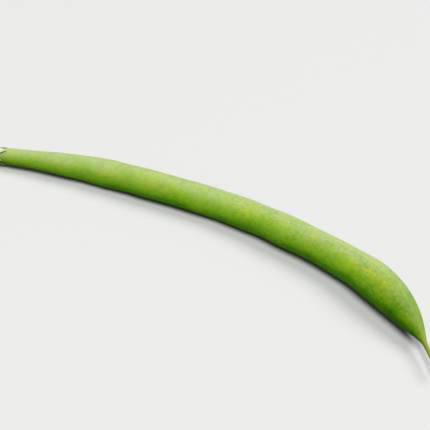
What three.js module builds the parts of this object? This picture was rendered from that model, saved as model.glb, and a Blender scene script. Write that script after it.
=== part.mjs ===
// A fresh green bean lying on its side: the pod with its beak, the calyx that cups the pod's
// neck, and the short stalk it was picked by.
// Millimetres, +Z up, lying on z = 0. +X runs from the stalk to the beak, and the origin is the
// middle of the bean's underside.

import * as THREE from "three";

const { clamp, degToRad, lerp, smoothstep } = THREE.MathUtils;

// Distances along the bean are measured on its centre line, from the neck's end towards the beak.
const POD_LENGTH = 152;

// Thickness of the pod.
const NECK_END_RADIUS = 1.5;
const NECK_RADIUS = 2.55;
const NECK_LENGTH = 8;
const SHOULDER_RADIUS = 3.8;
const SHOULDER_END = 39;
const THICKENING = 0.68; // what the radius gains from end to end, past the shoulder
const END_SWELL = 0.38; // the pod is thickest here, shortly before it tapers to its beak
const END_SWELL_PLACE = 122;
const END_SWELL_HALF_LENGTH = 6.5;
const TAPER_START = 127;
const TAPER_POWER = 1.25;
const BEAK_START = 143.8;
const BEAK_RADIUS = 0.62;
const BEAK_TIP_SHARE = 0.5; // how much of the beak's radius is left at its tip
const TIP_ROUNDING = 0.5;
const TIP_ROUNDING_END = 0.9; // the rounding stops here, at a small flat tip

// Bend of the centre line in plan, in degrees.
const START_HEADING = 22.85;
const STEADY_BEND = 30.6;
const TIP_BEND = 47.3;
const TIP_BEND_POWER = 5;
const SWAY = 2.2; // the pod also swings a little to either side of its bend
const SWAY_LENGTH = 44; // mm, from one swing to the next
const SWAY_START = 55.8; // mm, where a swing outwards begins
const SWAY_GROWTH = 40; // mm from the neck's end, where the swing reaches its full size

// How the bean lies: it touches the surface at three low points, and arches a little between them.
const FIRST_LOW_POINT = 33;
const LOW_POINT_SPACING = 45;
const ARCH_RISE = 0.35;
const FLAT_DEPTH = 0.12; // how far the low points are pressed flat
const NECK_DROOP = 0.8;
const BEAK_DROOP = 1.6;

// Cross-section: the pod is a little wider across its two sutures than across its cheeks.
const CHEEK_FLATTENING = 0.06;
const SUTURE_ANGLE = 70; // degrees above the outer side of the bend, at the neck
const SUTURE_TWIST = 32; // degrees that it climbs along the pod
const RIDGE_HEIGHT = 0.14;
const RIDGE_HALF_ANGLE = 0.2; // radians
const BACK_RIDGE_SHARE = 0.5;

// Seeds, which swell the cheeks more than the sutures.
const SEED_COUNT = 8;
const FIRST_SEED = 23;
const SEED_SPACING = 14.6;
const SEED_DRIFT = 1.2; // mm that a seed may sit off its even place
const SEED_DRIFT_STEP = 2.4; // radians from one seed to the next
const SEED_HALF_LENGTH = 5.2;
const SEED_SWELL = 0.28;
const SUTURE_SWELL_SHARE = 0.35;
const SEED_UNEVENNESS = 0.35;
const SEED_UNEVENNESS_STEP = 1.7;

// Calyx: a cup under the neck's end, with pointed lobes that lie along the neck.
const CALYX_BASE = -2.4;
const CALYX_BASE_RADIUS = 1.25;
const CUP_FLOOR = -0.25;
const CUP_RIM = 1.8;
const CUP_BULGE = 0.2;
const LOBE_COUNT = 5;
const LOBE_LENGTH = 2.8;
const LOBE_UNEVENNESS = 0.25;
const LOBE_UNEVENNESS_STEP = 2.1;
const LOBE_UNEVENNESS_START = 2.2;
const LOBE_SHARPNESS = 0.8;
const CALYX_WALL = 0.6;
const LOBE_EDGE_SHARE = 0.6; // how much of the wall is left at the lobes' edge
const CALYX_GAP = 0.12;

// Stalk: bent a little, thicker at the joint with the calyx and at its snapped end.
const STALK_START = -2.6;
const STALK_LENGTH = 8.5;
const STALK_RADIUS = 0.85;
const STALK_JOINT_RADIUS = 1.15;
const STALK_END_RADIUS = 1.05;
const STALK_JOINT_LENGTH = 1.6;
const STALK_SWAY = 1.4; // sideways, at the far end
const STALK_RISE = 0.9;
const STALK_FLARE_POWER = 4; // how late the stalk widens towards its snapped end

// Mesh density.
const AROUND_POD = 32;
const ALONG_POD = 92;
const END_CROWDING = 0.5; // stations stand this much closer at the pod's ends
const AROUND_CALYX = 40;
const ALONG_CALYX = 7;
const AROUND_STALK = 16;
const ALONG_STALK = 12;
const WALK_STEP = 1;

const SKIN_GREEN = 0x86b238;
const DRIED_BROWN = 0x9c8a4e;
const STALK_GREEN = 0x9db35a;

const FULL_TURN = 2 * Math.PI;

function headingAt(along) {
  const share = Math.max(along, 0) / POD_LENGTH;
  const bend = STEADY_BEND * share + TIP_BEND * share ** TIP_BEND_POWER;
  const swing = Math.sin((FULL_TURN * (along - SWAY_START)) / SWAY_LENGTH);
  return degToRad(START_HEADING - bend + SWAY * swing * smoothstep(along, 0, SWAY_GROWTH));
}

// The centre line's height: level with the pod's own radius, pressed down by the flats' depth,
// arched between the low points and drooping at both ends.
function heightAt(along) {
  const level = SHOULDER_RADIUS + slowGain(along) - FLAT_DEPTH;
  const phase = (Math.PI * (along - FIRST_LOW_POINT)) / LOW_POINT_SPACING;
  const neckDroop = NECK_DROOP * (1 - smoothstep(along, 0, FIRST_LOW_POINT));
  const beakDroop = BEAK_DROOP * smoothstep(along, TAPER_START, POD_LENGTH);
  return level + ARCH_RISE * Math.sin(phase) ** 2 - neckDroop - beakDroop;
}

// What the body's radius gains past the shoulder: a slow thickening, and the swelling at its end.
function slowGain(along) {
  const fromSwell = (along - END_SWELL_PLACE) / END_SWELL_HALF_LENGTH;
  return THICKENING * (along / POD_LENGTH) + END_SWELL * Math.exp(-(fromSwell ** 2));
}

// The centre line, walked in short steps from the stalk's far end to the beak's tip.
const LINE_START = STALK_START - STALK_LENGTH;
const LINE_LENGTH = POD_LENGTH - LINE_START;

function walkCentreLine() {
  const steps = Math.round(LINE_LENGTH / WALK_STEP);
  const step = LINE_LENGTH / steps;
  const points = [new THREE.Vector3(0, 0, heightAt(LINE_START))];
  for (let i = 1; i <= steps; i++) {
    const along = LINE_START + i * step;
    const heading = headingAt(along - step / 2);
    const last = points[i - 1];
    const x = last.x + step * Math.cos(heading);
    const y = last.y + step * Math.sin(heading);
    points.push(new THREE.Vector3(x, y, heightAt(along)));
  }
  return new THREE.CatmullRomCurve3(points);
}

const centreLine = walkCentreLine();

function centreAt(along) {
  return centreLine.getPoint((along - LINE_START) / LINE_LENGTH);
}

// Radius of the pod before seeds and sutures.
function podRadius(along) {
  const fromNeckEnd = 1 - clamp(along / NECK_LENGTH, 0, 1);
  const neck = NECK_RADIUS - (NECK_RADIUS - NECK_END_RADIUS) * fromNeckEnd ** 2;
  const shoulder = smoothstep(along, NECK_LENGTH, SHOULDER_END);
  const swell = (SHOULDER_RADIUS - NECK_RADIUS) * shoulder;
  const body = neck + swell + slowGain(along);
  return lerp(BEAK_RADIUS, body, fullnessAt(along)) * beakThinning(along);
}

// 1 along the body, falling to 0 where the beak begins.
function fullnessAt(along) {
  const taper = clamp((along - TAPER_START) / (BEAK_START - TAPER_START), 0, 1);
  return (1 - taper ** 2) ** TAPER_POWER;
}

// The beak narrows to its tip, which is rounded off.
function beakThinning(along) {
  const out = clamp((along - BEAK_START) / (POD_LENGTH - BEAK_START), 0, 1);
  const rounding = clamp((along - POD_LENGTH + TIP_ROUNDING) / TIP_ROUNDING, 0, TIP_ROUNDING_END);
  return lerp(1, BEAK_TIP_SHARE, out) * Math.sqrt(1 - rounding ** 2);
}

// Sum of the seeds' bell-shaped swellings, each a little off its even place and strength.
function seedSwell(along) {
  let swell = 0;
  for (let seed = 0; seed < SEED_COUNT; seed++) {
    const place = FIRST_SEED + seed * SEED_SPACING + SEED_DRIFT * Math.sin(SEED_DRIFT_STEP * seed);
    const strength = 1 + SEED_UNEVENNESS * Math.sin(SEED_UNEVENNESS_STEP * seed);
    swell += strength * Math.exp(-(((along - place) / SEED_HALF_LENGTH) ** 2));
  }
  return SEED_SWELL * swell * fullnessAt(along) * smoothstep(along, 0, FIRST_SEED);
}

// A narrow ridge along each suture: the seam on the outer side, and a fainter one at the back.
function sutureRidge(fromSuture) {
  const toFront = Math.min(fromSuture, FULL_TURN - fromSuture);
  const toBack = Math.abs(fromSuture - Math.PI);
  const front = Math.exp(-((toFront / RIDGE_HALF_ANGLE) ** 2));
  const back = Math.exp(-((toBack / RIDGE_HALF_ANGLE) ** 2));
  return RIDGE_HEIGHT * (front + BACK_RIDGE_SHARE * back);
}

// Distance from the centre line to the pod's skin, at an angle measured from the outer suture.
function skinRadius(along, fromSuture) {
  const cheek = Math.sin(fromSuture) ** 2;
  const oval = podRadius(along) * (1 - CHEEK_FLATTENING * cheek);
  const swell = seedSwell(along) * lerp(SUTURE_SWELL_SHARE, 1, cheek);
  return oval + swell + sutureRidge(fromSuture) * fullnessAt(along) * smoothstep(along, 0, FIRST_SEED);
}

// The point at a radius from the centre line, in the upright plane across the bean.
function pointAround(centre, along, radius, fromSuture) {
  const heading = headingAt(along);
  const suture = degToRad(SUTURE_ANGLE + SUTURE_TWIST * (along / POD_LENGTH));
  const outward = radius * Math.cos(fromSuture + suture);
  const upward = radius * Math.sin(fromSuture + suture);
  const x = centre.x - outward * Math.sin(heading);
  const y = centre.y + outward * Math.cos(heading);
  return new THREE.Vector3(x, y, Math.max(centre.z + upward, 0));
}

function ring(sides, pointAt) {
  return Array.from({ length: sides }, (_, i) => pointAt((FULL_TURN * i) / sides));
}

// A closed skin through a row of rings, with a fan over the first ring and one over the last.
function loft(rings) {
  const sides = rings[0].length;
  const points = rings.flat();
  const faces = [];
  for (let r = 0; r < rings.length - 1; r++) {
    for (let i = 0; i < sides; i++) {
      const a = r * sides + i;
      const b = r * sides + ((i + 1) % sides);
      faces.push(a, b, b + sides, a, b + sides, a + sides);
    }
  }
  const last = (rings.length - 1) * sides;
  const startCentre = points.push(middleOf(rings[0])) - 1;
  const endCentre = points.push(middleOf(rings.at(-1))) - 1;
  for (let i = 0; i < sides; i++) {
    const next = (i + 1) % sides;
    faces.push(startCentre, next, i, endCentre, last + i, last + next);
  }
  const geometry = new THREE.BufferGeometry().setFromPoints(points);
  geometry.setIndex(faces);
  geometry.computeVertexNormals();
  return geometry;
}

function middleOf(points) {
  const sum = points.reduce((total, point) => total.add(point), new THREE.Vector3());
  return sum.divideScalar(points.length);
}

// Pod: rings along the whole centre line, closer together at the neck and the beak.
function podGeometry() {
  const rings = [];
  for (let i = 0; i <= ALONG_POD; i++) {
    const even = i / ALONG_POD;
    const share = even - (END_CROWDING * Math.sin(FULL_TURN * even)) / FULL_TURN;
    const along = POD_LENGTH * share;
    const centre = centreAt(along);
    rings.push(
      ring(AROUND_POD, (angle) => pointAround(centre, along, skinRadius(along, angle), angle)),
    );
  }
  return loft(rings);
}

// How far along the neck the calyx reaches at an angle: the rim, with a pointed lobe on it.
function calyxReach(angle) {
  const turn = (angle / FULL_TURN) * LOBE_COUNT;
  const lobe = Math.floor(turn);
  const fromTip = Math.abs(turn - lobe - 0.5) * 2;
  const unevenness = LOBE_UNEVENNESS * Math.sin(LOBE_UNEVENNESS_STEP * lobe + LOBE_UNEVENNESS_START);
  const length = LOBE_LENGTH * (1 + unevenness);
  return CUP_RIM + length * (1 - fromTip) ** LOBE_SHARPNESS;
}

// Outside of the calyx: from its base, swelling round the neck's end, then close along the neck.
function calyxOutside(share, angle) {
  const along = lerp(CALYX_BASE, calyxReach(angle), share);
  const spread = smoothstep(along, CALYX_BASE, CUP_RIM);
  const bulge = CUP_BULGE * Math.sin(Math.PI * spread);
  const wall = CALYX_WALL * lerp(1, LOBE_EDGE_SHARE, share ** 2);
  const onNeck = skinRadius(Math.max(along, 0), angle) + CALYX_GAP + wall;
  const radius = lerp(CALYX_BASE_RADIUS, onNeck, Math.sqrt(spread)) + bulge;
  return pointAround(centreAt(along), along, radius, angle);
}

// Inside of the calyx, a gap away from the neck.
function calyxInside(share, angle) {
  const along = lerp(CUP_FLOOR, calyxReach(angle), share);
  const radius = skinRadius(Math.max(along, 0), angle) + CALYX_GAP;
  return pointAround(centreAt(along), along, radius, angle);
}

function calyxGeometry() {
  const rings = [];
  for (let i = 0; i <= ALONG_CALYX; i++) {
    rings.push(ring(AROUND_CALYX, (angle) => calyxOutside(i / ALONG_CALYX, angle)));
  }
  for (let i = ALONG_CALYX; i >= 0; i--) {
    rings.push(ring(AROUND_CALYX, (angle) => calyxInside(i / ALONG_CALYX, angle)));
  }
  return loft(rings);
}

// Stalk: rings from the snapped end to the joint, swaying aside and up as they leave the calyx.
function stalkGeometry() {
  const rings = [];
  for (let i = 0; i <= ALONG_STALK; i++) {
    const out = 1 - i / ALONG_STALK;
    const along = STALK_START - STALK_LENGTH * out;
    const heading = headingAt(along);
    const centre = centreAt(along);
    centre.x += STALK_SWAY * out ** 2 * Math.sin(heading);
    centre.y -= STALK_SWAY * out ** 2 * Math.cos(heading);
    centre.z += STALK_RISE * out ** 2;
    const joint = 1 - smoothstep(STALK_LENGTH * out, 0, STALK_JOINT_LENGTH);
    const swollen = lerp(STALK_RADIUS, STALK_JOINT_RADIUS, joint);
    const radius = lerp(swollen, STALK_END_RADIUS, out ** STALK_FLARE_POWER);
    rings.push(ring(AROUND_STALK, (angle) => pointAround(centre, along, radius, angle)));
  }
  return loft(rings);
}

function piece(name, geometry, color, roughness) {
  const material = new THREE.MeshStandardMaterial({ color, roughness, metalness: 0 });
  const mesh = new THREE.Mesh(geometry, material);
  mesh.name = name;
  return mesh;
}

const bean = new THREE.Group();
bean.add(piece("pod", podGeometry(), SKIN_GREEN, 0.5));
bean.add(piece("calyx", calyxGeometry(), DRIED_BROWN, 0.8));
bean.add(piece("stalk", stalkGeometry(), STALK_GREEN, 0.65));

const extent = new THREE.Box3().setFromObject(bean);
const middle = extent.getCenter(new THREE.Vector3());
bean.position.set(-middle.x, -middle.y, -extent.min.z);

export default bean;
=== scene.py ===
import math

import bpy
import numpy as np
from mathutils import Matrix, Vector


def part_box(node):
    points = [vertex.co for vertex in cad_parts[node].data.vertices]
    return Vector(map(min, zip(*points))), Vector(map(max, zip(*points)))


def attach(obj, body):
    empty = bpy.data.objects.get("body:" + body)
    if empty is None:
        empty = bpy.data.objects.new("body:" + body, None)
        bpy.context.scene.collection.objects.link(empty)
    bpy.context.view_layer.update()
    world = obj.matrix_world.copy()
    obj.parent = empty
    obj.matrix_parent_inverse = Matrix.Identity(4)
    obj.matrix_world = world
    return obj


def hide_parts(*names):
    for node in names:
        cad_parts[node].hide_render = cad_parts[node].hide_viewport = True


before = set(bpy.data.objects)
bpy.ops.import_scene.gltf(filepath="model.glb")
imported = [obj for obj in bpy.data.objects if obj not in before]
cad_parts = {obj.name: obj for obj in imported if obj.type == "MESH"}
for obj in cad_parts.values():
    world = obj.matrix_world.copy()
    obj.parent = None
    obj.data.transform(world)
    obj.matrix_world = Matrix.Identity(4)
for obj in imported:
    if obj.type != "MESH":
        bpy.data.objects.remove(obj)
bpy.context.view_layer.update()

# A fresh green bean lying on its side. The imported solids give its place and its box; this script
# gives it its skin: the pod, the dried calyx and the stalk, each as a fine surface worked out by
# formula. Lengths are in millimetres up to the meshes, which are in metres.
MM = 0.001
FULL_TURN = 2 * math.pi

# Pod: distances along it are measured on the centre line, from the neck's end to the beak's tip.
POD_LENGTH = 152.0
NECK_END_RADIUS = 1.5
NECK_RADIUS = 2.55
NECK_LENGTH = 8.0
SHOULDER_RADIUS = 3.8
SHOULDER_END = 39.0
THICKENING = 0.68
END_SWELL = 0.38
END_SWELL_PLACE = 122.0
END_SWELL_HALF_LENGTH = 6.5
TAPER_START = 127.0
TAPER_POWER = 1.25
BEAK_START = 143.8
BEAK_RADIUS = 0.62
BEAK_TIP_SHARE = 0.5
TIP_ROUNDING = 0.5

# Bend in plan, in degrees, and how the bean lies.
START_HEADING = 22.85
STEADY_BEND = 30.6
TIP_BEND = 47.3
TIP_BEND_POWER = 5
SWAY = 2.2
SWAY_LENGTH = 44.0
SWAY_START = 55.8
SWAY_GROWTH = 40.0
FIRST_LOW_POINT = 33.0
LOW_POINT_SPACING = 45.0
ARCH_RISE = 0.35
FLAT_DEPTH = 0.12
NECK_DROOP = 0.8
BEAK_DROOP = 1.6

# Cross-section: two sutures, flatter cheeks, and the seeds that swell them.
CHEEK_FLATTENING = 0.06
SUTURE_ANGLE = 70.0
SUTURE_TWIST = 32.0
RIDGE_HEIGHT = 0.14
RIDGE_HALF_ANGLE = 0.2
BACK_RIDGE_SHARE = 0.5
SEED_COUNT = 8
FIRST_SEED = 23.0
SEED_SPACING = 14.6
SEED_DRIFT = 1.2
SEED_DRIFT_STEP = 2.4
SEED_HALF_LENGTH = 5.2
SEED_SWELL = 0.28
SUTURE_SWELL_SHARE = 0.35
SEED_UNEVENNESS = 0.35
SEED_UNEVENNESS_STEP = 1.7
FIBRE_SLANT = 60.0

# Fine relief of the pod's skin: heights in millimetres.
WINDING_HEIGHT = 0.045
RIB_HEIGHT = 0.022
RIPPLE_HEIGHT = 0.018
GROOVE_DEPTH = 0.07
GROOVE_HALF_ANGLE = 0.035
BACK_GROOVE_SHARE = 0.6
RELIEF_START = 20.0

# Direction of the light that is painted into the pod's skin colour, and the painted shade that
# sets in towards the outer side of the bend.
PAINTED_LIGHT_AZIMUTH = 130.0
PAINTED_LIGHT_ELEVATION = 45.0
FAR_SIDE_START = 0.45
FAR_SIDE_SHADE = 0.55

# Calyx and stalk.
CALYX_BASE = -2.4
CALYX_BASE_RADIUS = 1.25
CUP_FLOOR = -0.25
CUP_RIM = 1.8
CUP_BULGE = 0.2
LOBE_COUNT = 5
LOBE_LENGTH = 2.8
LOBE_UNEVENNESS = 0.25
LOBE_UNEVENNESS_STEP = 2.1
LOBE_UNEVENNESS_START = 2.2
LOBE_SHARPNESS = 0.8
CALYX_WALL = 0.6
LOBE_EDGE_SHARE = 0.4
CALYX_GAP = 0.1
CALYX_VEIN_HEIGHT = 0.05
CALYX_VEIN_COUNT = 15
CRUMPLE_HEIGHT = 0.05
CURL_LIFT = 0.08
CURL_UNEVENNESS = 0.07
CURL_UNEVENNESS_STEP = 1.9
CURL_UNEVENNESS_START = 0.5
CURL_START = 0.6
STALK_START = -2.6
STALK_LENGTH = 8.5
STALK_RADIUS = 0.85
STALK_JOINT_RADIUS = 1.15
STALK_END_RADIUS = 1.05
STALK_JOINT_LENGTH = 1.6
STALK_SWAY = 1.4
STALK_RISE = 0.9
STALK_FLARE_POWER = 4
STALK_SINK = 0.7  # how far the stalk's skin runs on into the calyx
STALK_GROOVE_DEPTH = 0.035
STALK_LINE_DEPTH = 0.012
TEAR_DEPTH = 0.18
TEAR_FRAYING = 0.1
TEAR_START = 0.93
# The snapped face: rings inward from the rim, as shares of its radius, and how deep each one lies.
FACE_RINGS = (0.92, 0.7, 0.35)
FACE_HOLLOW = (-0.02, 0.12, 0.2)
FACE_SHARE = 1.2  # the share given to the snapped face, past the stalk's own 0 to 1

# Grid sizes: stations along a piece, and points around it.
POD_GRID = (700, 136)
CALYX_GRID = (36, 240)
STALK_GRID = (110, 72)
END_CROWDING = 0.5


def smoothstep(value, low, high):
    """0 below low, 1 above high, and a cubic ease between them."""
    t = np.clip((value - low) / (high - low), 0, 1)
    return t * t * (3 - 2 * t)


def blend(a, b, share):
    """From a at share 0 to b at share 1."""
    return a + (b - a) * share


def direction(azimuth, elevation):
    """From the bean towards an eye that looks along +Y at azimuth 0 and along -X at 90."""
    a, e = math.radians(azimuth), math.radians(elevation)
    return np.array([math.sin(a) * math.cos(e), -math.cos(a) * math.cos(e), math.sin(e)])


# ---------------------------------------------------------------- centre line


def heading(along):
    """Direction of the centre line in plan: a start, less a steady bend, less a late strong one,
    with a sine wave's small swing to either side."""
    share = np.maximum(along, 0) / POD_LENGTH
    degrees = START_HEADING - STEADY_BEND * share - TIP_BEND * share**TIP_BEND_POWER
    swing = SWAY * np.sin(FULL_TURN * (along - SWAY_START) / SWAY_LENGTH)
    return np.radians(degrees + swing * smoothstep(along, 0, SWAY_GROWTH))


def slow_gain(along):
    """What the radius gains past the shoulder: a slow thickening, and a bell near the pod's end."""
    from_swell = (along - END_SWELL_PLACE) / END_SWELL_HALF_LENGTH
    return THICKENING * along / POD_LENGTH + END_SWELL * np.exp(-(from_swell**2))


def lying_height(along):
    """Height of the centre line: the body's own radius, so that its underside is level, plus a
    squared sine that arches it between the low points, less an eased droop at each end."""
    level = SHOULDER_RADIUS + slow_gain(along) - FLAT_DEPTH
    arch = ARCH_RISE * np.sin(math.pi * (along - FIRST_LOW_POINT) / LOW_POINT_SPACING) ** 2
    neck = NECK_DROOP * (1 - smoothstep(along, 0, FIRST_LOW_POINT))
    beak = BEAK_DROOP * smoothstep(along, TAPER_START, POD_LENGTH)
    return level + arch - neck - beak


# The centre line in plan is the running sum of short steps, each along the heading at its middle.
LINE_START = STALK_START - STALK_LENGTH
LINE_STEPS = 4000
line_along = np.linspace(LINE_START, POD_LENGTH, LINE_STEPS + 1)
line_step = (POD_LENGTH - LINE_START) / LINE_STEPS
line_heading = heading(line_along[:-1] + line_step / 2)
line_x = np.concatenate([[0.0], np.cumsum(line_step * np.cos(line_heading))])
line_y = np.concatenate([[0.0], np.cumsum(line_step * np.sin(line_heading))])


def suture_angle(along):
    """Where the outer suture lies: its angle up from the outer side of the bend, which grows
    evenly along the pod."""
    return np.radians(SUTURE_ANGLE + SUTURE_TWIST * along / POD_LENGTH)


def around_line(along, angle, radius, shift=(0.0, 0.0)):
    """Points at a radius from the centre line, in the upright plane across it. The angle is counted
    from the outer suture, which climbs round the bean from its neck to its beak. The shift moves the
    centre aside and up. Nothing goes below the surface that the bean lies on."""
    along, angle, radius = np.broadcast_arrays(along, angle, radius)
    turn, around = heading(along), angle + suture_angle(along)
    aside = radius * np.cos(around) + shift[0]
    up = radius * np.sin(around) + shift[1]
    x = np.interp(along, line_along, line_x) - aside * np.sin(turn)
    y = np.interp(along, line_along, line_y) + aside * np.cos(turn)
    z = np.maximum(lying_height(along) + up, 0)
    return np.stack([x, y, z], axis=-1)


# ------------------------------------------------------------------ pod shape


def fullness(along):
    """1 along the body, falling to 0 where the beak begins: one less the square of the share of
    the taper that is passed, raised to the taper's power."""
    taper = np.clip((along - TAPER_START) / (BEAK_START - TAPER_START), 0, 1)
    return (1 - taper**2) ** TAPER_POWER


def pod_radius(along):
    """Radius before seeds and sutures. The neck widens from its end by a parabola, an ease adds the
    shoulder, and then comes the slow gain. The fullness leads all that over into the thin beak,
    which thins evenly and ends in a quarter circle."""
    from_end = 1 - np.clip(along / NECK_LENGTH, 0, 1)
    neck = NECK_RADIUS - (NECK_RADIUS - NECK_END_RADIUS) * from_end**2
    shoulder = (SHOULDER_RADIUS - NECK_RADIUS) * smoothstep(along, NECK_LENGTH, SHOULDER_END)
    body = neck + shoulder + slow_gain(along)
    out = np.clip((along - BEAK_START) / (POD_LENGTH - BEAK_START), 0, 1)
    rounding = np.clip((along - POD_LENGTH + TIP_ROUNDING) / TIP_ROUNDING, 0, 1)
    thinning = blend(1, BEAK_TIP_SHARE, out) * np.sqrt(1 - rounding**2)
    return blend(BEAK_RADIUS, body, fullness(along)) * thinning


def seed_swell(along):
    """Sum of bell-shaped swellings, one for each seed, each a little off its place and strength."""
    swell = np.zeros_like(along)
    for seed in range(SEED_COUNT):
        place = FIRST_SEED + seed * SEED_SPACING + SEED_DRIFT * math.sin(SEED_DRIFT_STEP * seed)
        strength = 1 + SEED_UNEVENNESS * math.sin(SEED_UNEVENNESS_STEP * seed)
        swell = swell + strength * np.exp(-(((along - place) / SEED_HALF_LENGTH) ** 2))
    return SEED_SWELL * swell * fullness(along) * smoothstep(along, 0, FIRST_SEED)


def seam_nearness(angle, half_angle, back_share):
    """A narrow bell over the outer suture, and a weaker one over the suture at the back."""
    turned = np.mod(angle, FULL_TURN)
    front = np.exp(-((np.minimum(turned, FULL_TURN - turned) / half_angle) ** 2))
    back = np.exp(-((np.abs(turned - math.pi) / half_angle) ** 2))
    return front + back_share * back


def skin_radius(along, angle):
    """Distance from the centre line to the skin: the radius, less a share of it that grows with
    the squared sine away from the sutures, plus the seeds' swell, which is strongest on the cheeks,
    plus a ridge over each suture."""
    cheek = np.sin(angle) ** 2
    oval = pod_radius(along) * (1 - CHEEK_FLATTENING * cheek)
    swell = seed_swell(along) * blend(SUTURE_SWELL_SHARE, 1, cheek)
    ridge = RIDGE_HEIGHT * seam_nearness(angle, RIDGE_HALF_ANGLE, BACK_RIDGE_SHARE)
    return oval + swell + ridge * fullness(along) * smoothstep(along, 0, FIRST_SEED)


def skin_relief(along, angle):
    """Small unevenness of a grown pod: products of a wave round it and a wave along it, first long
    ones that wind round it, then ribs, then short ripples, less a narrow bell over each suture,
    which is the groove along the top of its ridge."""
    winding = np.sin(3 * angle + 0.045 * along + 0.6) * np.sin(0.083 * along + 1.1)
    ribs = np.sin(7 * angle - 0.03 * along) * np.sin(0.031 * along + 0.4)
    ripples = np.sin(0.52 * along + 2 * np.sin(angle + 0.9)) * np.sin(2 * angle + 0.2 * along)
    waves = WINDING_HEIGHT * winding + RIB_HEIGHT * ribs + RIPPLE_HEIGHT * ripples
    groove = GROOVE_DEPTH * seam_nearness(angle, GROOVE_HALF_ANGLE, BACK_GROOVE_SHARE)
    return (waves - groove) * fullness(along) * smoothstep(along, 0, RELIEF_START)


# ------------------------------------------------------------------ mesh code


def lofted_mesh(name, points, attributes):
    """A closed skin from a grid of points, one row for each ring: quads between the rings, wrapped
    round, with a fan of triangles over the first and the last. Attributes are grids of the same
    rows, and each end's middle point takes the mean of its ring."""
    rows, sides = points.shape[:2]
    index = np.arange(rows * sides).reshape(rows, sides)
    right = np.roll(index, -1, axis=1)
    quads = np.stack([index[:-1], right[:-1], right[1:], index[1:]], axis=-1).reshape(-1, 4)
    start = np.stack([np.full(sides, rows * sides), right[0], index[0]], axis=-1)
    end = np.stack([np.full(sides, rows * sides + 1), index[-1], right[-1]], axis=-1)

    def with_ends(grid):
        flat = grid.reshape(rows * sides, -1)
        return np.vstack([flat, flat[:sides].mean(0), flat[-sides:].mean(0)])

    mesh = bpy.data.meshes.new(name)
    mesh.from_pydata(with_ends(points) * MM, [], quads.tolist() + start.tolist() + end.tolist())
    for title, grid in attributes.items():
        vector = grid.ndim == 3
        made = mesh.attributes.new(title, "FLOAT_VECTOR" if vector else "FLOAT", "POINT")
        values = with_ends(grid).astype(np.float32).ravel()
        made.data.foreach_set("vector" if vector else "value", values)
    mesh.shade_smooth()
    mesh.validate()
    return mesh


def place_piece(name, mesh, material, node):
    """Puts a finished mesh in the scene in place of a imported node, riding on the one body."""
    piece = bpy.data.objects.new(name, mesh)
    bpy.context.scene.collection.objects.link(piece)
    mesh.materials.append(material)
    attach(piece, "root")
    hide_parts(node)


def crowded_stations(count, crowding):
    """Shares from 0 to 1 that stand closer together at both ends: even ones, less one sine wave."""
    even = np.linspace(0, 1, count)
    return even - crowding * np.sin(FULL_TURN * even) / FULL_TURN


def turns(count):
    """Even angles round a ring, from 0 up to a full turn."""
    return np.arange(count) * FULL_TURN / count


def straightened(along, angle, radius):
    """The place that a point of the skin has when its piece is laid out straight."""
    parts = np.broadcast_arrays(along, radius * np.cos(angle), radius * np.sin(angle))
    return np.stack(parts, axis=-1)


def fibre_place(along, angle, radius):
    """The place among the fibres of the pod's wall. They run slantwise from the outer suture down
    both halves of the pod and meet at the back one: the first part counts across the fibres, the
    second along them, and the third tells the halves apart."""
    from_suture = radius * np.minimum(angle, FULL_TURN - angle)
    slant = math.radians(FIBRE_SLANT)
    across = along * math.sin(slant) + from_suture * math.cos(slant)
    down = from_suture * math.sin(slant) - along * math.cos(slant)
    return np.stack(np.broadcast_arrays(across, down, radius * np.sin(angle)), axis=-1)


def painted_light_level(along, angle):
    """How much painted light the skin's colour gets, from 1 down to -1: the skin's outward
    direction times the painted light's, less a painted shade that sets in towards the outer side of
    the bend."""
    turn, around = heading(along), angle + suture_angle(along)
    light = direction(PAINTED_LIGHT_AZIMUTH, PAINTED_LIGHT_ELEVATION)
    aside = light[1] * np.cos(turn) - light[0] * np.sin(turn)
    shade = FAR_SIDE_SHADE * smoothstep(np.cos(around), FAR_SIDE_START, 1)
    return aside * np.cos(around) + light[2] * np.sin(around) - shade


def pod_points():
    """The pod's skin on a grid, with what its skin's pattern follows: the place on the straightened
    pod and among the fibres, the share of the length, the side, 1 at the outer suture and -1 at the
    back one, and how much painted light its colour gets."""
    along = (POD_LENGTH * crowded_stations(POD_GRID[0], END_CROWDING))[:-1, None]
    angle = turns(POD_GRID[1])[None, :]
    radius = skin_radius(along, angle) + skin_relief(along, angle)
    return around_line(along, angle, radius), {
        "straight": straightened(along, angle, radius),
        "fibres": fibre_place(along, angle, radius),
        "share": np.broadcast_to(along / POD_LENGTH, radius.shape),
        "side": np.broadcast_to(np.cos(angle), radius.shape),
        "painted_light": painted_light_level(along, angle),
    }


# ----------------------------------------------------------- calyx and stalk


def lobe_place(angle):
    """Which lobe an angle falls in, and how far it is from that lobe's tip: 0 there, and 1 in the
    notches on both sides."""
    turn = np.mod(angle, FULL_TURN) / FULL_TURN * LOBE_COUNT
    lobe = np.floor(turn)
    return lobe, np.abs(turn - lobe - 0.5) * 2


def calyx_reach(angle):
    """How far along the neck the calyx reaches: its rim, plus a lobe for each fifth, which rises to
    its point by a power of how near the point is, each lobe with a length of its own."""
    lobe, from_tip = lobe_place(angle)
    unevenness = LOBE_UNEVENNESS * np.sin(LOBE_UNEVENNESS_STEP * lobe + LOBE_UNEVENNESS_START)
    length = LOBE_LENGTH * (1 + unevenness)
    return CUP_RIM + length * (1 - from_tip) ** LOBE_SHARPNESS


def calyx_wrinkles(share, angle):
    """A cosine round the calyx for the veins that run up it, strongest halfway up, and a product
    of two slanting waves for the crumpling of a dried calyx, which grows towards the tips."""
    veins = np.cos(CALYX_VEIN_COUNT * angle) * np.sin(math.pi * share)
    crumple = np.sin(9 * angle + 7 * share) * np.sin(11 * share + 3 * np.sin(2 * angle))
    return CALYX_VEIN_HEIGHT * veins + CRUMPLE_HEIGHT * crumple * share


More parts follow.
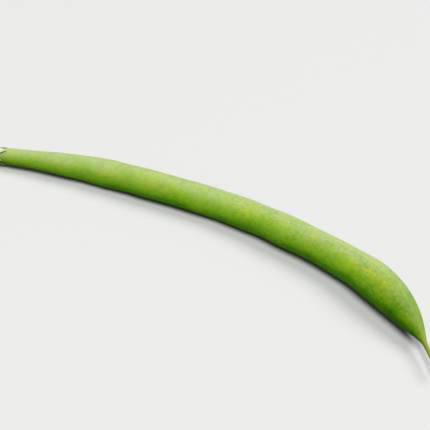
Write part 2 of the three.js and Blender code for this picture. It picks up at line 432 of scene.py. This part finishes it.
def calyx_curl(share, angle):
    """How far the lobes lift off the neck: nothing low down, eased up to each tip's own lift."""
    lobe, _ = lobe_place(angle)
    unevenness = CURL_UNEVENNESS * np.sin(CURL_UNEVENNESS_STEP * lobe + CURL_UNEVENNESS_START)
    lift = CURL_LIFT + unevenness
    return lift * smoothstep(share, CURL_START, 1)


def calyx_points():
    """Outside from the base to the lobes' tips, then inside from the tips to the cup's floor. The
    inside keeps a gap to the pod's skin. The outside lies a wall further out, which thins towards
    the tips, and narrows by a square root to the small base, with half a sine wave of bulge."""
    share = np.linspace(0, 1, CALYX_GRID[0])[:, None]
    angle = turns(CALYX_GRID[1])[None, :]
    reach = calyx_reach(angle)
    curl = calyx_curl(share, angle)

    along = blend(CALYX_BASE, reach, share)
    opening = smoothstep(along, CALYX_BASE, CUP_RIM)
    wall = CALYX_WALL * blend(1, LOBE_EDGE_SHARE, share**2)
    on_neck = skin_radius(np.maximum(along, 0), angle) + CALYX_GAP + wall + curl
    bulge = CUP_BULGE * np.sin(math.pi * opening)
    outer = blend(CALYX_BASE_RADIUS, on_neck, np.sqrt(opening)) + bulge
    outside = around_line(along, angle, outer + calyx_wrinkles(share, angle))

    inner_along = blend(CUP_FLOOR, reach, share)
    inner = skin_radius(np.maximum(inner_along, 0), angle) + CALYX_GAP + curl
    inside = around_line(inner_along, angle, inner)

    straight = straightened(along, angle, outer)
    shares = np.broadcast_to(share, outer.shape)
    return np.concatenate([outside, inside[::-1]]), {
        "straight": np.concatenate([straight, straight[::-1]]),
        "share": np.concatenate([shares, shares[::-1]]),
    }


def stalk_points():
    """Rings from the snapped end to the calyx. The radius swells at the joint and flares at the
    end, less waves round it for lengthwise grooves. More waves round it tear the end's rim, and
    three rings inside the rim hollow the face."""
    out = np.linspace(1, 0, STALK_GRID[0])[:, None]
    angle = turns(STALK_GRID[1])[None, :]
    along = STALK_START + STALK_SINK * (1 - out) - STALK_LENGTH * out
    joint = 1 - smoothstep(STALK_LENGTH * out, 0, STALK_JOINT_LENGTH)
    swollen = blend(STALK_RADIUS, STALK_JOINT_RADIUS, joint)
    radius = blend(swollen, STALK_END_RADIUS, out**STALK_FLARE_POWER)
    radius = radius + STALK_GROOVE_DEPTH * np.cos(6 * angle + 0.5 * np.sin(0.9 * along))
    radius = radius + STALK_LINE_DEPTH * np.sin(13 * angle + along)
    torn = TEAR_DEPTH * np.sin(5 * angle + 0.7) + TEAR_FRAYING * np.sin(11 * angle)
    along = along + torn * smoothstep(out, TEAR_START, 1)
    sway = STALK_SWAY * out**2
    points = around_line(along, angle, radius, shift=(-sway, STALK_RISE * out**2))

    face_radius = radius[0] * np.array(FACE_RINGS)[:, None]
    face_along = along[0] + np.array(FACE_HOLLOW)[:, None]
    face = around_line(face_along, angle, face_radius, shift=(-sway[0], STALK_RISE))
    points = np.concatenate([face[::-1], points])
    face_straight = straightened(face_along, angle, face_radius)
    straight = [face_straight[::-1], straightened(along, angle, radius)]
    shares = [np.full((len(FACE_RINGS), 1), FACE_SHARE), out]
    return points, {
        "straight": np.concatenate(straight),
        "share": np.concatenate(shares) * np.ones_like(angle),
    }


# ------------------------------------------------------------------ materials


def add_node(tree, kind, inputs=None, **settings):
    """A new node with its settings, and its inputs either linked or set."""
    made = tree.nodes.new(kind)
    for title, value in settings.items():
        setattr(made, title, value)
    for socket, value in (inputs or {}).items():
        if isinstance(value, bpy.types.NodeSocket):
            tree.links.new(value, made.inputs[socket])
        else:
            made.inputs[socket].default_value = value
    return made


def attribute(tree, title, output="Fac"):
    """A value that the mesh carries for each of its points."""
    return add_node(tree, "ShaderNodeAttribute", attribute_name=title).outputs[output]


def noise(tree, vector, scale, detail, roughness, shift=(0, 0, 0)):
    """Noise with a scale for each axis, so that it can be drawn out along the bean, and a shift to
    another part of the pattern."""
    stretch = {0: vector, 1: scale, 2: shift}
    place = add_node(tree, "ShaderNodeVectorMath", stretch, operation="MULTIPLY_ADD").outputs[0]
    inputs = {"Vector": place, "Scale": 1.0, "Detail": detail, "Roughness": roughness}
    return add_node(tree, "ShaderNodeTexNoise", inputs).outputs[0]


def spread(tree, value, low, high, to_low=0.0, to_high=1.0):
    """Maps low..high to to_low..to_high with an ease, and holds the ends."""
    ends = {"From Min": low, "From Max": high, "To Min": to_low, "To Max": to_high}
    inputs = {"Value": value, **ends}
    made = add_node(tree, "ShaderNodeMapRange", inputs, interpolation_type="SMOOTHSTEP")
    return made.outputs[0]


def added(tree, a, b):
    """The sum of two values."""
    return add_node(tree, "ShaderNodeMath", {0: a, 1: b}, operation="ADD").outputs[0]


def product(tree, a, b):
    """One value times the other."""
    return add_node(tree, "ShaderNodeMath", {0: a, 1: b}, operation="MULTIPLY").outputs[0]


def mixed(tree, factor, a, b, mode="MIX"):
    """Colour b over colour a by the factor."""
    inputs = {0: factor, 6: a, 7: b}
    return add_node(tree, "ShaderNodeMix", inputs, data_type="RGBA", blend_type=mode).outputs[2]


def bumped(tree, height, distance, strength, normal=None):
    """A normal with a height's bump on it, over another bump's normal where one is given."""
    inputs = {"Height": height, "Distance": distance, "Strength": strength}
    if normal is not None:
        inputs["Normal"] = normal
    return add_node(tree, "ShaderNodeBump", inputs).outputs[0]


def new_material(name):
    """A material with its node tree and its one shader, already joined to the output."""
    material = bpy.data.materials.new(name)
    material.use_nodes = True
    material.node_tree.nodes.clear()
    tree = material.node_tree
    shader = add_node(tree, "ShaderNodeBsdfPrincipled")
    output = add_node(tree, "ShaderNodeOutputMaterial")
    tree.links.new(shader.outputs[0], output.inputs[0])
    return material, tree, shader


# Skin colours, from painted shade on the side turned away from the light to painted light and a
# painted sheen on the side facing it, and of the two ends.
PAINTED_SHADE_GREEN = (0.058, 0.204, 0.003, 1)
PAINTED_HALF_SHADE_GREEN = (0.162, 0.334, 0.012, 1)
PAINTED_HALF_LIT_GREEN = (0.24, 0.35, 0.047, 1)
# The palest green's whitish cast is a painted sheen.
PAINTED_LIT_SHEEN_GREEN = (0.278, 0.359, 0.128, 1)
BEAK_OLIVE = (0.2, 0.235, 0.03, 1)
BEAK_BROWN = (0.13, 0.09, 0.03, 1)
NECK_PALE = (0.3, 0.37, 0.155, 1)

# Tints that the skin's colour is multiplied by.
# The tail's tint is a deeper green that also paints the shade of neighbouring pods.
TAIL_GREEN_AND_SHADE_TINT = (0.48, 0.59, 0.24, 1)
YELLOW_TINT = (1.15, 1.04, 0.7, 1)
VIVID_TINT = (0.8, 0.94, 0.6, 1)
RIPE_TINT = (1.22, 1.14, 0.7, 1)
UNRIPE_TINT = (0.64, 0.81, 0.46, 1)
DARK_TINT = (0.67, 0.76, 0.5, 1)
LIGHT_TINT = (1.26, 1.15, 1.4, 1)
SEAM_TINT = (0.72, 0.86, 0.6, 1)
SCAR_TINT = (0.25, 0.22, 0.2, 1)

# Noise patterns of the pod's skin: waves for each millimetre along it and to both sides, then the
# detail and the roughness, and for the patches a shift to another part of the pattern.
# WANDER also moves the painted shade's edge up and down along the pod.
WANDER = ((0.09, 0.25, 0.25), 3.0, 0.5)
CLOUDS = ((0.22, 0.14, 0.14), 3.0, 0.55)
PATCHES = ((0.24, 0.16, 0.22), 4.0, 0.6, (13.1, 0, 0))
SLANTS = ((0.6, 0.25, 0.3), 4.0, 0.6)
SPOTS = ((1.0, 1.6, 1.6), 3.0, 0.65)
SCARS = ((0.55, 0.55, 0.55), 5.0, 0.75)
GLOSS = ((0.3, 0.6, 0.6), 3.0, 0.5)
PEBBLES = ((2.6, 2.6, 2.6), 2.0, 0.55)
GLAND_SCALE = 1.9

# The ranges from here on are for spread: from and to, then, where they aren't 0 and 1, what each
# becomes. First the wander of the painted shade's edge and the painted shade at the neck, then
# where each green gives way to the next, by how much painted light the skin gets.
WANDER_RANGE = (0.3, 0.7, -0.12, 0.12)
# Painted shade at the neck's start.
NECK_PAINTED_SHADING = (0.02, 0.13, -0.2, 0.0)
SHADE_TO_HALF_SHADE = (-0.75, -0.15)
HALF_SHADE_TO_HALF_LIT = (-0.25, 0.35)
HALF_LIT_TO_LIT = (0.18, 0.74)

# Changes along the pod, by the share of its length.
# The tail's deepening is partly a deeper green, partly painted shade.
TAIL_DEEPENING_AND_SHADE = (0.77, 0.93)
RIPENING = (0.62, 0.88, 0.15, 1.0)
MOTTLING = (0.15, 0.9, 0.4, 0.85)
SEAM_SHOWING = (0.05, 0.3)
BEAK_GREENING = (0.925, 0.965, 0.0, 0.9)
TIP_BROWNING = (0.978, 0.998, 0.0, 0.8)
NECK_PALING = (0.12, 0.0, 0.0, 0.55)
WAX_THINNING = (0.78, 0.9, 1.0, 0.1)

# Changes from the painted-shade side to the painted-lit one.
PATCHES_BY_PAINTED_LIGHT = (0.35, 0.75, 1.0, 0.1)
MOTTLES_ON_PAINTED_SHADE = (0.3, -0.4, 0.0, 0.4)
PALING_BY_PAINTED_LIGHT = (-0.4, 0.2)
WAX_BY_PAINTED_LIGHT = (0.1, 0.9, 0.0, 0.38)

# How strongly each pattern's low and high parts show.
YELLOW_CLOUDS = (0.5, 0.7, 0.0, 0.55)
VIVID_CLOUDS = (0.5, 0.32, 0.0, 0.45)
RIPE_PATCHES = (0.49, 0.62)
UNRIPE_PATCHES = (0.49, 0.38)
DARK_SLANTS = (0.5, 0.72, 0.0, 0.32)
LIGHT_SLANTS = (0.5, 0.28, 0.0, 0.22)
DARK_SPOTS = (0.5, 0.74)
LIGHT_SPOTS = (0.5, 0.3, 0.0, 0.7)
LIGHT_GLANDS = (0.25, 0.08, 0.0, 0.35)
SEAM_LINE = (0.994, 0.9995, 0.0, 0.4)
SCAR_RANGE = (0.75, 0.79, 0.0, 0.6)
GLOSS_RANGE = (0.3, 0.7, 0.38, 0.5)
WAX_RANGE = (0.3, 0.7, -0.15, 0.15)

# Bump of the pod's skin: distance in metres, and strength.
CELL_BUMP = (0.0001, 0.6)
SLANT_BUMP = (0.0001, 0.5)
GLAND_BUMP_SHARE = 0.35


def tinted(tree, colour, tint, factor):
    """The colour multiplied by the tint, by the factor."""
    return mixed(tree, factor, colour, tint, "MULTIPLY")


def pod_skin():
    """Fresh bean skin: painted light and a painted pale sheen, with wax, on the side that faces the
    painted light, through yellow-green to deep green in painted shade on the other side, and a
    deeper, darker green towards the beak, which also paints shade. Soft clouds and riper patches lie
    over it, crossed by slanting fibres and broken up by fine mottles that grow stronger along the
    pod and in the painted shade, with a soft line in the suture, a paler neck and an olive beak that
    browns at its tip."""
    material, tree, shader = new_material("fresh_pod_skin")
    straight = attribute(tree, "straight", "Vector")
    fibres = attribute(tree, "fibres", "Vector")
    share = attribute(tree, "share")
    side = attribute(tree, "side")
    painted_light = attribute(tree, "painted_light")

    # Painted light and shade: the base colour steps from painted shade to painted light and sheen by
    # how much painted light the skin gets, its edge wandered by a noise and darkened at the neck's
    # start.
    painted_exposure = added(tree, painted_light, spread(tree, noise(tree, straight, *WANDER), *WANDER_RANGE))
    painted_exposure = added(tree, painted_exposure, spread(tree, share, *NECK_PAINTED_SHADING))
    colour = mixed(tree, spread(tree, painted_exposure, *SHADE_TO_HALF_SHADE), PAINTED_SHADE_GREEN, PAINTED_HALF_SHADE_GREEN)
    colour = mixed(tree, spread(tree, painted_exposure, *HALF_SHADE_TO_HALF_LIT), colour, PAINTED_HALF_LIT_GREEN)
    colour = mixed(tree, spread(tree, painted_exposure, *HALF_LIT_TO_LIT), colour, PAINTED_LIT_SHEEN_GREEN)
    # Darker, deeper green towards the beak: partly the pod's own green, partly painted shade.
    colour = tinted(tree, colour, TAIL_GREEN_AND_SHADE_TINT, spread(tree, share, *TAIL_DEEPENING_AND_SHADE))

    clouds = noise(tree, straight, *CLOUDS)
    colour = tinted(tree, colour, YELLOW_TINT, spread(tree, clouds, *YELLOW_CLOUDS))
    colour = tinted(tree, colour, VIVID_TINT, spread(tree, clouds, *VIVID_CLOUDS))

    patches = noise(tree, fibres, *PATCHES)
    by_side = spread(tree, painted_exposure, *PATCHES_BY_PAINTED_LIGHT)
    ripeness = product(tree, spread(tree, share, *RIPENING), by_side)
    ripe = product(tree, spread(tree, patches, *RIPE_PATCHES), ripeness)
    unripe = product(tree, spread(tree, patches, *UNRIPE_PATCHES), ripeness)
    colour = tinted(tree, colour, RIPE_TINT, ripe)
    colour = tinted(tree, colour, UNRIPE_TINT, unripe)

    slants = noise(tree, fibres, *SLANTS)
    colour = tinted(tree, colour, DARK_TINT, spread(tree, slants, *DARK_SLANTS))
    colour = tinted(tree, colour, LIGHT_TINT, spread(tree, slants, *LIGHT_SLANTS))

    spots = noise(tree, straight, *SPOTS)
    on_shade = spread(tree, painted_light, *MOTTLES_ON_PAINTED_SHADE)
    mottling = added(tree, spread(tree, share, *MOTTLING), on_shade)
    dark_spots = product(tree, spread(tree, spots, *DARK_SPOTS), mottling)
    light_spots = product(tree, spread(tree, spots, *LIGHT_SPOTS), mottling)
    colour = tinted(tree, colour, DARK_TINT, dark_spots)
    colour = tinted(tree, colour, LIGHT_TINT, light_spots)

    inputs = {"Vector": straight, "Scale": GLAND_SCALE, "Randomness": 1.0}
    glands = add_node(tree, "ShaderNodeTexVoronoi", inputs).outputs["Distance"]
    colour = tinted(tree, colour, LIGHT_TINT, spread(tree, glands, *LIGHT_GLANDS))

    seam = product(tree, spread(tree, side, *SEAM_LINE), spread(tree, share, *SEAM_SHOWING))
    colour = tinted(tree, colour, SEAM_TINT, seam)
    colour = mixed(tree, spread(tree, share, *BEAK_GREENING), colour, BEAK_OLIVE)
    colour = mixed(tree, spread(tree, share, *TIP_BROWNING), colour, BEAK_BROWN)
    by_side = spread(tree, painted_exposure, *PALING_BY_PAINTED_LIGHT)
    paling = product(tree, spread(tree, share, *NECK_PALING), by_side)
    colour = mixed(tree, paling, colour, NECK_PALE)

    scars = noise(tree, straight, *SCARS)
    colour = tinted(tree, colour, SCAR_TINT, spread(tree, scars, *SCAR_RANGE))
    tree.links.new(colour, shader.inputs["Base Color"])

    gloss = noise(tree, straight, *GLOSS)
    tree.links.new(spread(tree, gloss, *GLOSS_RANGE), shader.inputs["Roughness"])

    pits = product(tree, glands, -GLAND_BUMP_SHARE)
    cell_relief = added(tree, noise(tree, straight, *PEBBLES), pits)
    normal = bumped(tree, cell_relief, *CELL_BUMP)
    normal = bumped(tree, slants, *SLANT_BUMP, normal)
    tree.links.new(normal, shader.inputs["Normal"])

    wax = added(tree, painted_light, spread(tree, gloss, *WAX_RANGE))
    thinning = spread(tree, share, *WAX_THINNING)
    coat = product(tree, spread(tree, wax, *WAX_BY_PAINTED_LIGHT), thinning)
    tree.links.new(coat, shader.inputs["Coat Weight"])
    shader.inputs["Coat Roughness"].default_value = 0.4
    shader.inputs["Specular IOR Level"].default_value = 0.005
    shader.inputs["Subsurface Weight"].default_value = 0.1
    shader.inputs["Subsurface Radius"].default_value = (0.5, 1.0, 0.1)
    shader.inputs["Subsurface Scale"].default_value = 0.001
    return material


CUP_GREEN = (0.4, 0.46, 0.16, 1)
PAPERY_CREAM = (0.47, 0.54, 0.3, 1)
DRIED_PINK = (0.44, 0.4, 0.26, 1)
DRIED_TAN = (0.42, 0.36, 0.19, 1)
DRIED_BROWN = (0.24, 0.16, 0.08, 1)

# The calyx's patterns and ranges, as the pod's.
BLOTCHES = ((0.55, 0.55, 0.55), 3.0, 0.55)
CALYX_FIBRES = ((0.4, 3.0, 3.0), 4.0, 0.6)
PINK_BLOTCHES = (0.4, 0.6)
TAN_BLOTCHES = (0.56, 0.72)
CUP_TO_LOBES = (0.15, 0.6)
BROWN_TIPS = (0.9, 1.0, 0.0, 0.4)
BROWN_VEINS = (0.52, 0.8, 0.0, 0.5)
CALYX_BUMP = (0.0002, 0.7)


def calyx_skin():
    """Drying calyx: greenish at the cup, papery cream to pinkish tan up the lobes, with fine brown
    veins and tips."""
    material, tree, shader = new_material("dried_calyx_skin")
    straight = attribute(tree, "straight", "Vector")
    share = attribute(tree, "share")
    blotches = noise(tree, straight, *BLOTCHES)
    fibres = noise(tree, straight, *CALYX_FIBRES)

    papery = mixed(tree, spread(tree, blotches, *PINK_BLOTCHES), PAPERY_CREAM, DRIED_PINK)
    papery = mixed(tree, spread(tree, blotches, *TAN_BLOTCHES), papery, DRIED_TAN)
    colour = mixed(tree, spread(tree, share, *CUP_TO_LOBES), CUP_GREEN, papery)
    colour = mixed(tree, spread(tree, share, *BROWN_TIPS), colour, DRIED_BROWN)
    colour = mixed(tree, spread(tree, fibres, *BROWN_VEINS), colour, DRIED_BROWN)
    tree.links.new(colour, shader.inputs["Base Color"])
    tree.links.new(bumped(tree, fibres, *CALYX_BUMP), shader.inputs["Normal"])
    shader.inputs["Roughness"].default_value = 0.75
    shader.inputs["Subsurface Weight"].default_value = 0.1
    shader.inputs["Subsurface Scale"].default_value = 0.0005
    return material


STALK_PALE = (0.48, 0.54, 0.18, 1)
STALK_DEEP = (0.24, 0.33, 0.06, 1)
STALK_FIBRE = (0.62, 0.56, 0.34, 1)

# The stalk's patterns and ranges, as the pod's.
STALK_LINES = ((0.25, 3.2, 3.2), 4.0, 0.6)
STALK_FUZZ = ((5.0, 5.0, 5.0), 3.0, 0.6)
DEEP_LINES = (0.4, 0.68, 0.0, 0.85)
PALE_FUZZ = (0.55, 0.75, 0.0, 0.3)
FIBRES_AT_END = (0.9, 1.02, 0.0, 0.9)
LINE_BUMP = (0.00015, 0.6)
FUZZ_BUMP = (0.00005, 0.5)


def stalk_skin():
    """Pale green stalk with darker lengthwise lines, and straw-coloured fibres where it snapped."""
    material, tree, shader = new_material("stalk_skin")
    straight = attribute(tree, "straight", "Vector")
    share = attribute(tree, "share")
    lines = noise(tree, straight, *STALK_LINES)
    fuzz = noise(tree, straight, *STALK_FUZZ)

    colour = mixed(tree, spread(tree, lines, *DEEP_LINES), STALK_PALE, STALK_DEEP)
    colour = mixed(tree, spread(tree, fuzz, *PALE_FUZZ), colour, STALK_PALE)
    colour = mixed(tree, spread(tree, share, *FIBRES_AT_END), colour, STALK_FIBRE)
    tree.links.new(colour, shader.inputs["Base Color"])
    normal = bumped(tree, lines, *LINE_BUMP)
    tree.links.new(bumped(tree, fuzz, *FUZZ_BUMP, normal), shader.inputs["Normal"])
    shader.inputs["Roughness"].default_value = 0.6
    shader.inputs["Subsurface Weight"].default_value = 0.1
    shader.inputs["Subsurface Scale"].default_value = 0.0008
    return material


# --------------------------------------------------------------------- pieces


def origin_shift(points):
    """What moves the pod from its own start to its packed place: the middle of its packed box."""
    low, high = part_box("pod")
    middle = (np.array(low) + np.array(high)) / 2 / MM
    own = (points.reshape(-1, 3).max(0) + points.reshape(-1, 3).min(0)) / 2
    return np.array([middle[0] - own[0], middle[1] - own[1], 0.0])


def build_bean():
    """Makes the three pieces, and returns what moves them to their packed place."""
    points, attributes = pod_points()
    shift = origin_shift(points)
    mesh = lofted_mesh("pod_surface", points + shift, attributes)
    place_piece("pod_surface", mesh, pod_skin(), "pod")

    points, attributes = calyx_points()
    mesh = lofted_mesh("calyx_surface", points + shift, attributes)
    place_piece("calyx_surface", mesh, calyx_skin(), "calyx")

    points, attributes = stalk_points()
    mesh = lofted_mesh("stalk_surface", points + shift, attributes)
    place_piece("stalk_surface", mesh, stalk_skin(), "stalk")
    return shift


# ---------------------------------------------------------------------- stage

# Lengths here are in metres, but for the lens and the sensor. Directions are azimuth and elevation.
FLOOR_SIDE = 60.0
FLOOR_DROP = 0.00002
FLOOR_WHITE = (0.45, 0.45, 0.445, 1)
SKY_WHITE = (1.0, 1.0, 1.0, 1)
SKY_STRENGTH = 0.2
BACKDROP_STRENGTH = 0.82
# The softboxes stand far off, so that the floor is lit evenly out to its edges.
SOFTBOX_DISTANCE = 17
SOFTBOX_WIDTH = 10
OVERHEAD_DIRECTION = (36, 72)
OVERHEAD_POWER = 3280
BACK_DIRECTION = (140, 50)
BACK_POWER = 2680

CAMERA_AZIMUTH = 36.5
CAMERA_ELEVATION = 38.0
CAMERA_DISTANCE = 0.211
CAMERA_LENS = 63.3
CAMERA_SENSOR = 36
CAMERA_NEAR = 0.005
# The point that the camera looks at, from the start of the pod's neck, in millimetres.
CAMERA_TARGET = (69.56, 19.26)


def look_from(thing, place, target):
    """Puts a camera or a light at a place and turns it to face the target."""
    thing.location = Vector(place)
    thing.rotation_euler = (Vector(target) - Vector(place)).to_track_quat("-Z", "Y").to_euler()


def build_floor():
    """A matt, pale, square floor, a hair below the bean's resting level."""
    half = FLOOR_SIDE / 2
    corners = [(-half, -half), (half, -half), (half, half), (-half, half)]
    mesh = bpy.data.meshes.new("floor")
    mesh.from_pydata([(x, y, -FLOOR_DROP) for x, y in corners], [], [(0, 1, 2, 3)])
    floor = bpy.data.objects.new("floor", mesh)
    bpy.context.scene.collection.objects.link(floor)
    material, _, shader = new_material("pale_floor")
    shader.inputs["Base Color"].default_value = FLOOR_WHITE
    shader.inputs["Roughness"].default_value = 0.8
    shader.inputs["Specular IOR Level"].default_value = 0.1
    mesh.materials.append(material)


def add_softbox(name, azimuth, elevation, power, target):
    """A round soft light, far off in the given direction and turned to the target."""
    data = bpy.data.lights.new(name, "AREA")
    data.shape = "DISK"
    data.size = SOFTBOX_WIDTH
    data.energy = power
    light = bpy.data.objects.new(name, data)
    bpy.context.scene.collection.objects.link(light)
    look_from(light, np.array(target) + SOFTBOX_DISTANCE * direction(azimuth, elevation), target)


def build_lights(target):
    add_softbox("overhead_softbox", *OVERHEAD_DIRECTION, OVERHEAD_POWER, target)
    add_softbox("back_softbox", *BACK_DIRECTION, BACK_POWER, target)


def build_studio():
    """Dim light from all round, and a pale backdrop wherever the camera looks past the floor."""
    world = bpy.data.worlds.new("studio")
    world.use_nodes = True
    tree = world.node_tree
    background = tree.nodes["Background"]
    background.inputs[0].default_value = SKY_WHITE
    seen = add_node(tree, "ShaderNodeLightPath").outputs["Is Camera Ray"]
    strength = spread(tree, seen, 0.0, 1.0, SKY_STRENGTH, BACKDROP_STRENGTH)
    tree.links.new(strength, background.inputs[1])
    bpy.context.scene.world = world


def build_camera(target):
    """The camera, at its distance and direction from the target."""
    data = bpy.data.cameras.new("camera")
    data.sensor_width = CAMERA_SENSOR
    data.lens = CAMERA_LENS
    data.clip_start = CAMERA_NEAR
    camera = bpy.data.objects.new("camera", data)
    bpy.context.scene.collection.objects.link(camera)
    place = np.array(target) + CAMERA_DISTANCE * direction(CAMERA_AZIMUTH, CAMERA_ELEVATION)
    look_from(camera, place, target)
    bpy.context.scene.camera = camera


def camera_target(shift):
    """The looked-at point on the surface, measured from the start of the pod's neck."""
    start = [np.interp(0.0, line_along, line_x), np.interp(0.0, line_along, line_y)]
    x = (start[0] + shift[0] + CAMERA_TARGET[0]) * MM
    y = (start[1] + shift[1] + CAMERA_TARGET[1]) * MM
    return (x, y, 0.0)


shift = build_bean()
target = camera_target(shift)
build_floor()
build_lights(target)
build_studio()
build_camera(target)
bpy.context.scene.view_settings.view_transform = "Standard"
